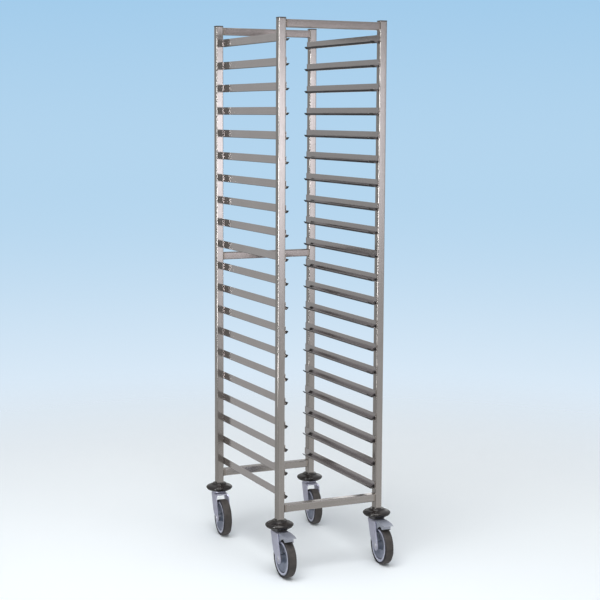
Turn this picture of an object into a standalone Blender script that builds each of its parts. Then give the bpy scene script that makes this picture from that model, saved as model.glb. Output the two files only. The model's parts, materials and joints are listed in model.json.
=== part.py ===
# Open pan rack trolley: four uprights, five cross rails, twenty levels of runners, four casters.
# Metres, +Z up, floor at z = 0. The front, where pans slide in, faces -Y.
import bpy
import bmesh
from math import cos, sin, tan, pi, radians, sqrt
from mathutils import Matrix, Vector

for old in list(bpy.data.objects):
    bpy.data.objects.remove(old, do_unlink=True)

# ---------------------------------------------------------------- driving dimensions
FRAME_WIDTH = 0.380        # across the outer faces of the uprights
FRAME_DEPTH = 0.548        # front face to back face of the uprights
TUBE = 0.025               # square tube side
TUBE_WALL = 0.0015
TUBE_CORNER = 0.003        # outer corner radius of the tube
UPRIGHT_BOTTOM = 0.1680
UPRIGHT_TOP = 1.7740
WELD_GAP = 0.0003          # clearance left between touching pieces

TOP_RAIL_UNDERSIDE = 1.7465
MID_RAIL_UNDERSIDE = 0.9730
BOTTOM_RAIL_UNDERSIDE = 0.2010

LEVELS = 20
LEVEL_PITCH = 0.077
FIRST_LEVEL = 0.243        # underside of the lowest runner
SHEET = 0.0015             # runner sheet thickness
WEB_HEIGHT = 0.0257
RUNNER_REACH = 0.0177      # from the upright face to the lip tip
LIP_RUN = 0.0080           # horizontal part of the sloping lip
LIP_RISE = 0.0080
LIP_SETBACK = 0.0124       # flange and lip stop short of the web ends
WEB_END_MARGIN = 0.0005
BEND_HEIGHT = 0.0022       # height of the bend at the foot of the web
STRAP_WIDTH = 0.0040       # strap that holds two neighbouring runners at their pitch

CAP_HEAD = 0.0040
CAP_OVERHANG = 0.0004
CAP_CHAMFER = 0.0012
CAP_PLUG = 0.016

BUMPER_RADIUS = 0.046
BUMPER_MID = 0.1610
BUMPER_BOTTOM = 0.1496
BUMPER_TOP = 0.1765
BUMPER_BORE = 0.0096
RECESS_CLEARANCE = 0.0006

HEAD_RADIUS = 0.0260
BRAKED_HEAD_RADIUS = 0.0285
HEAD_BOTTOM = 0.1431
HEAD_TOP = 0.1493
PIN_RADIUS = 0.0060

WHEEL_RADIUS = 0.0625
TRAIL = 0.047              # axle behind the swivel axis
TYRE_HALF = 0.0150
TREAD_HALF = 0.0100
TYRE_INNER = 0.0550
HUB_HALF = 0.0175
HUB_RADIUS = 0.0130
AXLE_RADIUS = 0.0040

CROWN_UNDERSIDE = 0.1373
CROWN_TOP = 0.1428
LEG_OUTER = 0.0240         # outer face of a leg from the wheel plane
LEG_SHEET = 0.0030
LEG_END_RADIUS = 0.0170
CROWN_REAR = 0.0260
CROWN_FRONT = 0.0350
BEND_RADIUS = 0.0080       # outside of the bend between crown and leg
INNER_BEND = 0.0070        # fuller inside, where the pressing is gusseted

PEDAL_PIVOT_OUT = 0.0360   # pivot in front of the swivel axis
PEDAL_PIVOT_HEIGHT = 0.1325
PEDAL_HALF_WIDTH = 0.0200
PEDAL_PLATE = 0.0020
SHOE_HALF_WIDTH = 0.0160

# caster name, side, front or back, swivel angle at rest, brake fitted
CASTERS = (
    ("fl", -1, -1, radians(1.0), True),
    ("fr", 1, -1, radians(4.0), True),
    ("bl", -1, 1, radians(5.5), False),
    ("br", 1, 1, radians(7.5), False),
)

SWIVEL_X = (FRAME_WIDTH - TUBE) / 2.0
SWIVEL_Y = (FRAME_DEPTH - TUBE) / 2.0


# ---------------------------------------------------------------- placement of the whole rack
def front_reach():
    reach = 0.0
    for name, side, end, angle, braked in CASTERS:
        if end < 0:
            forward = (TRAIL + WHEEL_RADIUS) * cos(angle) + TREAD_HALF * sin(angle)
            reach = max(reach, SWIVEL_Y + forward)
    return reach


RACK_SHIFT = (front_reach() - (SWIVEL_Y + BUMPER_RADIUS)) / 2.0


# ---------------------------------------------------------------- materials
def material(name, colour, roughness, metallic):
    mat = bpy.data.materials.new(name)
    mat.use_nodes = True
    shader = mat.node_tree.nodes["Principled BSDF"]
    shader.inputs["Base Color"].default_value = (colour[0], colour[1], colour[2], 1.0)
    shader.inputs["Roughness"].default_value = roughness
    shader.inputs["Metallic"].default_value = metallic
    return mat


STEEL_TUBE = material("stainless_tube", (0.56, 0.54, 0.53), 0.28, 1.0)
STEEL_RAIL = material("stainless_rail", (0.54, 0.52, 0.51), 0.30, 1.0)
STEEL_SHEET = material("stainless_sheet", (0.55, 0.53, 0.52), 0.26, 1.0)
CAP_PLASTIC = material("cap_plastic", (0.03, 0.03, 0.03), 0.55, 0.0)
BUMPER_RUBBER = material("bumper_rubber", (0.035, 0.035, 0.035), 0.45, 0.0)
ZINC_STEM = material("zinc_stem", (0.50, 0.51, 0.54), 0.40, 1.0)
RING_STEEL = material("dark_ring_steel", (0.05, 0.05, 0.055), 0.42, 1.0)
ZINC_FORK = material("zinc_fork", (0.52, 0.53, 0.58), 0.36, 1.0)
ZINC_AXLE = material("zinc_axle", (0.50, 0.51, 0.54), 0.34, 1.0)
RIM_PLASTIC = material("rim_plastic", (0.50, 0.52, 0.60), 0.45, 0.0)
TYRE_RUBBER = material("tyre_rubber", (0.09, 0.075, 0.065), 0.70, 0.0)
ZINC_PEDAL = material("zinc_pedal", (0.48, 0.50, 0.56), 0.36, 1.0)


# ---------------------------------------------------------------- mesh helpers
def add_object(name, verts, faces, mat, smooth=False, sharp=radians(40.0)):
    mesh = bpy.data.meshes.new(name)
    mesh.from_pydata([tuple(v) for v in verts], [], faces)
    mesh.validate()
    work = bmesh.new()
    work.from_mesh(mesh)
    bmesh.ops.remove_doubles(work, verts=work.verts, dist=0.000001)
    bmesh.ops.recalc_face_normals(work, faces=work.faces)
    if work.calc_volume(signed=True) < 0.0:
        bmesh.ops.reverse_faces(work, faces=work.faces)
    for face in work.faces:
        face.smooth = smooth
    for edge in work.edges:
        if len(edge.link_faces) == 2 and edge.calc_face_angle(0.0) > sharp:
            edge.smooth = False
    work.to_mesh(mesh)
    work.free()
    mesh.materials.append(mat)
    body = bpy.data.objects.new(name, mesh)
    bpy.context.scene.collection.objects.link(body)
    return body


def moved(verts, matrix):
    return [matrix @ Vector(v) for v in verts]


def set_origin(body, point):
    body.data.transform(Matrix.Translation(-Vector(point)))
    body.location = point


def ring_faces(first, second, count):
    faces = []
    for i in range(count):
        j = (i + 1) % count
        faces.append((first + i, first + j, second + j, second + i))
    return faces


def stack(rings, closed_loop):
    """Skin a list of equal-length rings; closed_loop joins the last ring to the first."""
    verts = []
    faces = []
    count = len(rings[0])
    for ring in rings:
        verts.extend(ring)
    for k in range(len(rings) - 1):
        faces.extend(ring_faces(k * count, (k + 1) * count, count))
    if closed_loop:
        faces.extend(ring_faces((len(rings) - 1) * count, 0, count))
    else:
        faces.append(tuple(range(count)))
        faces.append(tuple((len(rings) - 1) * count + i for i in range(count)))
    return verts, faces


def rounded_square(half, corner, steps):
    """Outline of a square with rounded corners, centred on the origin."""
    points = []
    centre = half - corner
    for quarter in range(4):
        start = quarter * pi / 2.0
        cx = centre * (1.0 if quarter in (0, 3) else -1.0)
        cy = centre * (1.0 if quarter in (0, 1) else -1.0)
        for k in range(steps + 1):
            angle = start + (pi / 2.0) * k / steps
            points.append((cx + corner * cos(angle), cy + corner * sin(angle)))
    return points


def square_radius(angle, half, corner):
    """Distance from the centre to the outline of a rounded square along one direction."""
    ax = abs(cos(angle))
    ay = abs(sin(angle))
    flat = half / max(ax, ay)
    if min(ax, ay) * flat <= half - corner:
        return flat
    centre = half - corner
    along = centre * (ax + ay)
    return along + sqrt(max(corner * corner - (2.0 * centre * centre - along * along), 0.0))


def lathe_z(profile, count, square=None):
    """Closed ring-shaped solid about Z from a closed list of (radius, height).

    Entries with a third value "square" follow a rounded square instead of a circle."""
    rings = []
    for entry in profile:
        ring = []
        for i in range(count):
            angle = 2.0 * pi * i / count
            radius = entry[0]
            if len(entry) > 2:
                radius = square_radius(angle, entry[0], square)
            ring.append((radius * cos(angle), radius * sin(angle), entry[1]))
        rings.append(ring)
    return stack(rings, True)


def lathe_x(profile, count, closed_loop):
    """Solid about the X axis from (x, radius); the first vertex of each ring points down."""
    rings = []
    for x, radius in profile:
        ring = []
        for i in range(count):
            angle = 2.0 * pi * i / count
            ring.append((x, radius * sin(angle), -radius * cos(angle)))
        rings.append(ring)
    return stack(rings, closed_loop)


def square_tube(length):
    """Hollow square tube along +Z, open at both ends."""
    outer = rounded_square(TUBE / 2.0, TUBE_CORNER, 3)
    inner = rounded_square(TUBE / 2.0 - TUBE_WALL, TUBE_CORNER - TUBE_WALL, 3)
    rings = [
        [(x, y, 0.0) for x, y in outer],
        [(x, y, length) for x, y in outer],
        [(x, y, length) for x, y in inner],
        [(x, y, 0.0) for x, y in inner],
    ]
    return stack(rings, True)


# ---------------------------------------------------------------- frame
def build_upright(name, side, end):
    verts, faces = square_tube(UPRIGHT_TOP - UPRIGHT_BOTTOM)
    place = Matrix.Translation((side * SWIVEL_X, end * SWIVEL_Y + RACK_SHIFT, UPRIGHT_BOTTOM))
    add_object(name, moved(verts, place), faces, STEEL_TUBE, True)


def build_rail(name, end, underside):
    length = FRAME_WIDTH - 2.0 * TUBE - 2.0 * WELD_GAP
    verts, faces = square_tube(length)
    lay_down = Matrix.Rotation(radians(90.0), 4, "Y")
    centre = Vector((-length / 2.0, end * SWIVEL_Y + RACK_SHIFT, underside + TUBE / 2.0))
    add_object(name, moved(verts, Matrix.Translation(centre) @ lay_down), faces, STEEL_RAIL, True)


def build_cap(name, side, end):
    """Push-in plug: a thin chamfered head on the tube end and a tapered plug inside it."""
    head = TUBE / 2.0 + CAP_OVERHANG
    plug = TUBE / 2.0 - TUBE_WALL - WELD_GAP
    base = UPRIGHT_TOP + WELD_GAP
    top = UPRIGHT_TOP + CAP_HEAD
    levels = (
        (plug - 0.0012, base - CAP_PLUG, 0.0010),
        (plug, base - CAP_PLUG + 0.003, 0.0012),
        (plug, base, 0.0012),
        (head, base, TUBE_CORNER),
        (head, top - CAP_CHAMFER, TUBE_CORNER),
        (head - CAP_CHAMFER, top, TUBE_CORNER - 0.0006),
    )
    rings = []
    for half, height, corner in levels:
        rings.append([(x, y, height) for x, y in rounded_square(half, corner, 2)])
    verts, faces = stack(rings, False)
    place = Matrix.Translation((side * SWIVEL_X, end * SWIVEL_Y + RACK_SHIFT, 0.0))
    add_object(name, moved(verts, place), faces, CAP_PLASTIC, True)


# ---------------------------------------------------------------- runners
def runner_sections():
    """Web and flange outlines; x grows inwards from the face of the upright."""
    x0 = WELD_GAP
    x1 = WELD_GAP + SHEET
    web = [(x1, BEND_HEIGHT), (x1, WEB_HEIGHT), (x0, WEB_HEIGHT), (x0, BEND_HEIGHT)]
    flat_end = RUNNER_REACH - LIP_RUN
    slant = SHEET * cos(radians(45.0))
    flange = [
        (x0, BEND_HEIGHT),
        (x0 + 0.0006, 0.0006),
        (x0 + BEND_HEIGHT, 0.0),
        (flat_end, 0.0),
        (RUNNER_REACH, LIP_RISE - slant),
        (RUNNER_REACH - slant, LIP_RISE),
        (flat_end - SHEET * tan(radians(22.5)), SHEET),
        (x1 + 0.0010, SHEET),
        (x1, BEND_HEIGHT),
    ]
    return web, flange


def runner_shell(height, strap_above, strap_below):
    """One runner: a web over the full length, and a flange with its lip between the end notches.

    Leaves the sheet edge open over the strap width where a strap carries on above or below."""
    web, flange = runner_sections()
    half = FRAME_DEPTH / 2.0 - WEB_END_MARGIN
    inner = FRAME_DEPTH / 2.0 - LIP_SETBACK
    stations = (-half, -half + STRAP_WIDTH, -inner, inner, half - STRAP_WIDTH, half)
    last = len(stations) - 2
    verts = []
    faces = []
    for y in stations:
        verts.extend([(x, y, height + z) for x, z in web])
    flange_start = len(verts)
    for y in (-inner, inner):
        verts.extend([(x, y, height + z) for x, z in flange])
    for k in range(last + 1):
        a = 4 * k
        b = a + 4
        at_strap = k in (0, last)
        faces.append((a, a + 1, b + 1, b))
        faces.append((a + 2, a + 3, b + 3, b + 2))
        if not (at_strap and strap_above):
            faces.append((a + 1, a + 2, b + 2, b + 1))
        if k != 2 and not (at_strap and strap_below):
            faces.append((a + 3, a, b, b + 3))
    end = 4 * (len(stations) - 1)
    faces.append((0, 1, 2, 3))
    faces.append((end, end + 1, end + 2, end + 3))
    count = len(flange)
    for i in range(count - 1):
        a = flange_start + i
        faces.append((a, a + 1, a + count + 1, a + count))
    faces.append(tuple(flange_start + i for i in range(count)))
    faces.append(tuple(flange_start + count + i for i in range(count)))
    return verts, faces


def build_runners(name, side, level):
    """Two neighbouring runners of one side, held at their pitch by a narrow strap at each end."""
    verts, faces = runner_shell(FIRST_LEVEL + LEVEL_PITCH * level, True, False)
    upper_verts, upper_faces = runner_shell(FIRST_LEVEL + LEVEL_PITCH * (level + 1), False, True)
    first = len(verts)
    verts = verts + upper_verts
    faces = faces + [tuple(first + i for i in face) for face in upper_faces]
    for k in (0, 4):
        a = 4 * k
        b = a + 4
        faces.append((a + 1, b + 1, first + b, first + a))
        faces.append((a + 2, b + 2, first + b + 3, first + a + 3))
        faces.append((a + 1, a + 2, first + a + 3, first + a))
        faces.append((b + 1, b + 2, first + b + 3, first + b))
    face_x = FRAME_WIDTH / 2.0 - TUBE
    placed = [(side * (face_x - x), y + RACK_SHIFT, z) for x, y, z in verts]
    add_object(name, placed, faces, STEEL_SHEET)


# ---------------------------------------------------------------- casters, fixed parts
def build_bumper(name, place):
    recess = TUBE / 2.0 + RECESS_CLEARANCE
    profile = (
        (BUMPER_BORE, BUMPER_BOTTOM + 0.0004),
        (0.0290, BUMPER_BOTTOM),
        (0.0372, BUMPER_BOTTOM + 0.0020),
        (0.0436, BUMPER_MID - 0.0052),
        (BUMPER_RADIUS, BUMPER_MID),
        (0.0435, BUMPER_MID + 0.0042),
        (0.0350, BUMPER_MID + 0.0078),
        (0.0268, BUMPER_MID + 0.0104),
        (0.0232, BUMPER_TOP - 0.0012),
        (0.0218, BUMPER_TOP),
        (recess, BUMPER_TOP, "square"),
        (recess, UPRIGHT_BOTTOM - WELD_GAP, "square"),
        (BUMPER_BORE, UPRIGHT_BOTTOM - WELD_GAP),
    )
    verts, faces = lathe_z(profile, 28, TUBE_CORNER + RECESS_CLEARANCE)
    add_object(name, moved(verts, place), faces, BUMPER_RUBBER, True)


def build_stem(name, place, head_radius):
    """King pin, race ring and the square expander that grips the inside of the upright."""
    count = 20
    bore_half = TUBE / 2.0 - TUBE_WALL
    shoulder = UPRIGHT_BOTTOM + 0.004
    profile = (
        ("round", PIN_RADIUS - 0.0010, CROWN_UNDERSIDE + 0.0002),
        ("round", PIN_RADIUS, CROWN_UNDERSIDE + 0.0012),
        ("round", PIN_RADIUS, HEAD_BOTTOM),
        ("round", head_radius - 0.0030, HEAD_BOTTOM),
        ("round", head_radius - 0.0026, HEAD_BOTTOM + 0.0016),
        ("round", head_radius, HEAD_BOTTOM + 0.0024),
        ("round", head_radius, HEAD_TOP - 0.0012),
        ("round", head_radius - 0.0014, HEAD_TOP),
        ("round", BUMPER_BORE - 0.0006, HEAD_TOP),
        ("round", BUMPER_BORE - 0.0006, shoulder),
        ("square", bore_half - 0.0007, shoulder),
        ("square", bore_half - 0.0004, shoulder + 0.024),
        ("square", bore_half - 0.0012, shoulder + 0.046),
        ("round", 0.0060, shoulder + 0.048),
    )
    rings = []
    for shape, size, height in profile:
        ring = []
        for i in range(count):
            angle = 2.0 * pi * i / count
            radius = size
            if shape == "square":
                radius = square_radius(angle, size, 0.0016)
            ring.append((radius * cos(angle), radius * sin(angle), height))
        rings.append(ring)
    verts, faces = stack(rings, False)
    steel = RING_STEEL if head_radius == BRAKED_HEAD_RADIUS else ZINC_STEM
    add_object(name, moved(verts, place), faces, steel, True)


# ---------------------------------------------------------------- fork
def line_at(points, height):
    """Value on a broken line of (height, value) pairs, heights falling."""
    for k in range(len(points) - 1):
        z0, v0 = points[k]
        z1, v1 = points[k + 1]
        if height >= z1:
            share = (z0 - height) / (z0 - z1)
            return v0 + (v1 - v0) * min(max(share, 0.0), 1.0)
    return points[-1][1]


# (height, distance in front of the swivel axis) down the rear and front edges of a leg
REAR_EDGE = ((0.1428, -0.0170), (0.1150, -0.0085), (0.0850, 0.0025), (0.0700, 0.0140), (0.0600, 0.0302))
FRONT_EDGE = ((0.1428, 0.0350), (0.1348, 0.0425), (0.1200, 0.0450), (0.0890, 0.0540), (0.0625, 0.0640))


def leg_span(height):
    """Rear and front edge of a leg at one height, measured forward from the swivel axis."""
    if height >= WHEEL_RADIUS:
        return line_at(REAR_EDGE, height), line_at(FRONT_EDGE, height)
    drop = WHEEL_RADIUS - height
    reach = sqrt(max(LEG_END_RADIUS * LEG_END_RADIUS - drop * drop, 0.0))
    rear = TRAIL - reach
    if height > 0.0550:
        rear = min(rear, line_at(REAR_EDGE, height))
    return rear, TRAIL + reach


def fork_stations():
    """Half of the U path, leg end to crown centre: (outer x, outer z, inner x, inner z, rear, front)."""
    stations = []
    low = WHEEL_RADIUS - LEG_END_RADIUS
    heights = (low + 0.0004, low + 0.0022, low + 0.0055, 0.0570, 0.0625, 0.0700, 0.0850, 0.1020, 0.1200)
    inner_x = LEG_OUTER - LEG_SHEET
    for height in heights:
        rear, front = leg_span(height)
        stations.append((LEG_OUTER, height, inner_x, height, rear, front))
    for k in range(4):
        turn = (pi / 2.0) * k / 3.0
        out_x = LEG_OUTER - BEND_RADIUS + BEND_RADIUS * cos(turn)
        out_z = CROWN_TOP - BEND_RADIUS + BEND_RADIUS * sin(turn)
        in_x = inner_x - INNER_BEND + INNER_BEND * cos(turn)
        in_z = CROWN_UNDERSIDE - INNER_BEND + INNER_BEND * sin(turn)
        rear, front = leg_span(out_z)
        rear = min(rear, REAR_EDGE[0][1] - 0.0012 * k)
        stations.append((out_x, out_z, in_x, in_z, rear, front))
    for x in (0.0080, 0.0):
        rear = -sqrt(CROWN_REAR * CROWN_REAR - x * x)
        front = CROWN_FRONT + 0.0010 * (1.0 - x / 0.008)
        stations.append((x, CROWN_TOP, x, CROWN_UNDERSIDE, rear, front))
    return stations


def build_fork(name, place, pivot):
    half = fork_stations()
    path = []
    for out_x, out_z, in_x, in_z, rear, front in half:
        path.append((-out_x, out_z, -in_x, in_z, rear, front))
    for out_x, out_z, in_x, in_z, rear, front in reversed(half[:-1]):
        path.append((out_x, out_z, in_x, in_z, rear, front))
    rings = []
    for out_x, out_z, in_x, in_z, rear, front in path:
        ring = [(out_x, -rear, out_z), (out_x, -front, out_z), (in_x, -front, in_z), (in_x, -rear, in_z)]
        rings.append(ring)
    verts, faces = stack(rings, False)
    fork = add_object(name, moved(verts, place), faces, ZINC_FORK, True)
    holes = (
        ("axle_hole", AXLE_RADIUS + 0.0003, (0.0, -TRAIL, WHEEL_RADIUS), "Y", 0.080),
        ("pin_hole", PIN_RADIUS + 0.0004, (0.0, 0.0, CROWN_TOP), "Z", 0.020),
    )
    for label, radius, centre, axis, length in holes:
        ring_low = []
        ring_high = []
        count = 16
        for i in range(count):
            angle = 2.0 * pi * i / count
            if axis == "Y":
                ring_low.append((-length / 2.0, radius * cos(angle), radius * sin(angle)))
                ring_high.append((length / 2.0, radius * cos(angle), radius * sin(angle)))
            else:
                ring_low.append((radius * cos(angle), radius * sin(angle), -length / 2.0))
                ring_high.append((radius * cos(angle), radius * sin(angle), length / 2.0))
        verts, faces = stack([ring_low, ring_high], False)
        cutter = add_object(name + "_" + label, moved(verts, place @ Matrix.Translation(centre)), faces, ZINC_FORK)
        cutter.hide_render = True
        cutter.display_type = "WIRE"
        cut = fork.modifiers.new(label, "BOOLEAN")
        cut.operation = "DIFFERENCE"
        cut.solver = "EXACT"
        cut.object = cutter
    set_origin(fork, pivot)
    return fork


# ---------------------------------------------------------------- wheel
def build_axle(name, place, pivot):
    """Through bolt: hexagon head, shank with spacers beside the hub, hexagon nut."""
    count = 12
    spacer_out = LEG_OUTER - LEG_SHEET - 0.0003
    spacer_in = HUB_HALF + 0.0003
    head_in = LEG_OUTER + 0.0003
    profile = (
        (-head_in - 0.0026, 0.0060, True),
        (-head_in, 0.0060, True),
        (-head_in, AXLE_RADIUS, False),
        (-spacer_out, AXLE_RADIUS, False),
        (-spacer_out, 0.0085, False),
        (-spacer_in, 0.0085, False),
        (-spacer_in, AXLE_RADIUS, False),
        (spacer_in, AXLE_RADIUS, False),
        (spacer_in, 0.0085, False),
        (spacer_out, 0.0085, False),
        (spacer_out, AXLE_RADIUS, False),
        (head_in, AXLE_RADIUS, False),
        (head_in, 0.0064, True),
        (head_in + 0.0042, 0.0064, True),
    )
    rings = []
    for x, size, hexagon in profile:
        ring = []
        for i in range(count):
            angle = 2.0 * pi * i / count
            radius = size
            if hexagon and i % 2:
                radius = size * cos(pi / 6.0)
            ring.append((x, radius * sin(angle), radius * cos(angle)))
        rings.append(ring)
    verts, faces = stack(rings, False)
    centre = place @ Matrix.Translation((0.0, -TRAIL, WHEEL_RADIUS))
    body = add_object(name, moved(verts, centre), faces, ZINC_AXLE, True)
    set_origin(body, pivot)


def build_rim(name, place, centre_point):
    bore = AXLE_RADIUS + 0.0004
    outer = TYRE_INNER - WELD_GAP
    side = (
        (HUB_HALF, bore),
        (HUB_HALF, HUB_RADIUS),
        (0.0060, HUB_RADIUS + 0.0015),
        (0.0045, 0.0400),
        (0.0136, 0.0465),
        (0.0136, 0.0525),
        (0.0125, outer),
    )
    profile = []
    for x, radius in side:
        profile.append((-x, radius))
    for x, radius in reversed(side):
        profile.append((x, radius))
    verts, faces = lathe_x(profile, 28, True)
    centre = place @ Matrix.Translation((0.0, -TRAIL, WHEEL_RADIUS))
    body = add_object(name, moved(verts, centre), faces, RIM_PLASTIC, True)
    set_origin(body, centre_point)


def build_tyre(name, place, centre_point):
    side = (
        (0.0125, TYRE_INNER),
        (0.0143, 0.0560),
        (TYRE_HALF, 0.0585),
        (0.0135, 0.0612),
        (TREAD_HALF, WHEEL_RADIUS),
    )
    profile = []
    for x, radius in side:
        profile.append((-x, radius))
    for x, radius in reversed(side):
        profile.append((x, radius))
    verts, faces = lathe_x(profile, 28, True)
    centre = place @ Matrix.Translation((0.0, -TRAIL, WHEEL_RADIUS))
    body = add_object(name, moved(verts, centre), faces, TYRE_RUBBER, True)
    set_origin(body, centre_point)


# ---------------------------------------------------------------- brake pedal
def build_pedal(name, place, pivot):
    """Stamped hood over the front of the tyre: ears between the legs, sloping top, side skirts, shoe."""
    # forward, top height, skirt bottom height, half width
    sections = (
        (0.0280, 0.1360, 0.1160, PEDAL_HALF_WIDTH - 0.0010),
        (0.0378, 0.1360, 0.1150, PEDAL_HALF_WIDTH - 0.0010),
        (0.0396, 0.1446, 0.1154, PEDAL_HALF_WIDTH - 0.0010),
        (0.0450, 0.1445, 0.1170, PEDAL_HALF_WIDTH - 0.0006),
        (0.0540, 0.1441, 0.1235, PEDAL_HALF_WIDTH - 0.0003),
        (0.0660, 0.1434, 0.1300, PEDAL_HALF_WIDTH),
        (0.0800, 0.1422, 0.1345, PEDAL_HALF_WIDTH),
        (0.0870, 0.1412, 0.1374, PEDAL_HALF_WIDTH - 0.0010),
        (0.0990, 0.1396, 0.1366, PEDAL_HALF_WIDTH - 0.0030),
    )
    rings = []
    for out, top, low, wide in sections:
        inside = max(top - 0.0038, low + WELD_GAP)
        rings.append([
            (-wide, -out, low),
            (-wide, -out, top - 0.0030),
            (-wide + 0.0030, -out, top),
            (wide - 0.0030, -out, top),
            (wide, -out, top - 0.0030),
            (wide, -out, low),
            (wide - PEDAL_PLATE, -out, low),
            (wide - PEDAL_PLATE - 0.0004, -out, inside),
            (-wide + PEDAL_PLATE + 0.0004, -out, inside),
            (-wide + PEDAL_PLATE, -out, low),
        ])
    verts, faces = stack(rings, False)
    pedal = add_object(name, moved(verts, place), faces, ZINC_PEDAL, True)
    # brake shoe: a block under the hood that follows the tread
    shoe_rings = []
    for out, top, low in ((0.0530, 0.1425, 0.1290), (0.0670, 0.1418, 0.1262), (0.0800, 0.1406, 0.1200)):
        shoe_rings.append([
            (-SHOE_HALF_WIDTH, -out, low),
            (SHOE_HALF_WIDTH, -out, low),
            (SHOE_HALF_WIDTH, -out, top),
            (-SHOE_HALF_WIDTH, -out, top),
        ])
    verts, faces = stack(shoe_rings, False)
    shoe = add_object(name + "_shoe_shape", moved(verts, place), faces, ZINC_PEDAL)
    shoe.hide_render = True
    shoe.display_type = "WIRE"
    join = pedal.modifiers.new("shoe", "BOOLEAN")
    join.operation = "UNION"
    join.solver = "EXACT"
    join.object = shoe
    set_origin(pedal, pivot)


# ---------------------------------------------------------------- assembly
for side_name, side, end_name, end in (("l", -1, "f", -1), ("r", 1, "f", -1), ("l", -1, "b", 1), ("r", 1, "b", 1)):
    build_upright("upright_" + end_name + side_name, side, end)

build_rail("rail_front_top", -1, TOP_RAIL_UNDERSIDE)
build_rail("rail_front_bottom", -1, BOTTOM_RAIL_UNDERSIDE)
build_rail("rail_back_top", 1, TOP_RAIL_UNDERSIDE)
build_rail("rail_back_mid", 1, MID_RAIL_UNDERSIDE)
build_rail("rail_back_bottom", 1, BOTTOM_RAIL_UNDERSIDE)
for side_name, side in (("l", -1), ("r", 1)):
    build_cap("cap_f" + side_name, side, -1)
    build_cap("cap_b" + side_name, side, 1)
    for level in range(0, LEVELS, 2):
        build_runners("runners_%s_%02d_%02d" % (side_name, level + 1, level + 2), side, level)

for tag, side, end, angle, braked in CASTERS:
    swivel = Vector((side * SWIVEL_X, end * SWIVEL_Y + RACK_SHIFT, 0.0))
    fixed = Matrix.Translation(swivel)
    turned = fixed @ Matrix.Rotation(-angle, 4, "Z")
    hub_point = turned @ Vector((0.0, -TRAIL, WHEEL_RADIUS))
    swivel_point = swivel + Vector((0.0, 0.0, CROWN_TOP))
    build_bumper("bumper_" + tag, fixed)
    build_stem("stem_" + tag, fixed, BRAKED_HEAD_RADIUS if braked else HEAD_RADIUS)
    build_fork("fork_" + tag, turned, swivel_point)
    build_axle("axle_" + tag, turned, swivel_point)
    build_rim("rim_" + tag, turned, hub_point)
    build_tyre("tyre_" + tag, turned, hub_point)
    if braked:
        pedal_point = turned @ Vector((0.0, -PEDAL_PIVOT_OUT, PEDAL_PIVOT_HEIGHT))
        build_pedal("brake_pedal_" + tag, turned, pedal_point)
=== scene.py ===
# Open pan rack trolley: visible surfaces, materials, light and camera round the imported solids.
# Metres, +Z up, floor at z = 0. The front, where pans slide in, faces -Y.
import json
from math import atan2, cos, pi, radians, sin, sqrt
import bmesh
import bpy
from mathutils import Matrix, Vector

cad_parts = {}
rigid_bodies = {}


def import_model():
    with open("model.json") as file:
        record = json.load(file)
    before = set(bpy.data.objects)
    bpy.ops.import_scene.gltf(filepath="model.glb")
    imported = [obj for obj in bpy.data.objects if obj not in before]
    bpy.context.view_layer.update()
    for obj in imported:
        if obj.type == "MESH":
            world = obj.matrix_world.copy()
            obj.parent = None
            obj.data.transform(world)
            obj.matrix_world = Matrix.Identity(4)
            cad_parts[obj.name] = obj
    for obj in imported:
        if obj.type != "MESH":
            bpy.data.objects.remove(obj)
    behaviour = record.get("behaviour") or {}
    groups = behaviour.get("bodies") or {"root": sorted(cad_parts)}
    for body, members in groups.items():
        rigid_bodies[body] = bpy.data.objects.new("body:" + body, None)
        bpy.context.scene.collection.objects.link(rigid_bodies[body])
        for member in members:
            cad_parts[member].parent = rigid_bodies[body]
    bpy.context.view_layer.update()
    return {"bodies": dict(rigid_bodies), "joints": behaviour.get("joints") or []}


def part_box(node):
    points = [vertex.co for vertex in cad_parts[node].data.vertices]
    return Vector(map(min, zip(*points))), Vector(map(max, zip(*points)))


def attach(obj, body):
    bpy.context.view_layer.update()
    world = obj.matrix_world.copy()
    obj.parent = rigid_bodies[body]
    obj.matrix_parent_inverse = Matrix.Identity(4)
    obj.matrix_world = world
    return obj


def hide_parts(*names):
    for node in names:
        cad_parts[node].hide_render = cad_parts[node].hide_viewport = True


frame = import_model()

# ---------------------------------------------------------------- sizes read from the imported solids
POST_LOW, POST_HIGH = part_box("upright_fl")
TUBE = POST_HIGH.x - POST_LOW.x
FACE_X = -POST_HIGH.x  # inner faces of the uprights
FRONT_Y = POST_LOW.y
BACK_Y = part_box("upright_bl")[1].y
MIDDLE_Y = (FRONT_Y + BACK_Y) / 2.0
HALF_DEPTH = (BACK_Y - FRONT_Y) / 2.0

# ---------------------------------------------------------------- sizes of the finer shapes
TUBE_WALL = 0.0015
TUBE_CORNER = 0.0030
SHEET = 0.0015
WEB_HEIGHT = 0.0257
WEB_GAP = 0.0003  # between web and upright face
LIP_SETBACK = 0.0124  # flange and lip stop short of the web ends
WHEEL_RADIUS = 0.0625
TRAIL = 0.0470
LEG_OUTER = 0.0240
LEG_SHEET = 0.0030
LEG_END_RADIUS = 0.0170
HUB_HALF = 0.0175
WELD_BEAD = 0.00125
BUMPER_WIDEST = 0.1610  # height of the bumper's widest line
COLLAR_FLOOR = 0.1677  # the upright's end sits here in the bumper's collar
PIN_BORE = 0.0096
BALL_GROOVE = 0.1462
EXPANDER_FOOT = 0.1720
PEDAL_PIN_FORWARD = 0.0360
PEDAL_PIN_HEIGHT = 0.1325
SHOE_HALF = 0.0158
SHOE_PAD = 0.0024
RIM_HUB_RADIUS = 0.0170  # dark hub inside this
RIM_DISH_RADIUS = 0.0471  # blue-grey dish inside this, darker partly in its own tone and partly as painted shade of the recess; pale ring outside
TREAD_HALF = 0.0112
CROWN_TOP = 0.1428
CROWN_UNDERSIDE = 0.1373
HEAD_BOTTOM = 0.1431
HEAD_TOP = 0.1493
PEDAL_HALF_WIDTH = 0.0200
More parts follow.
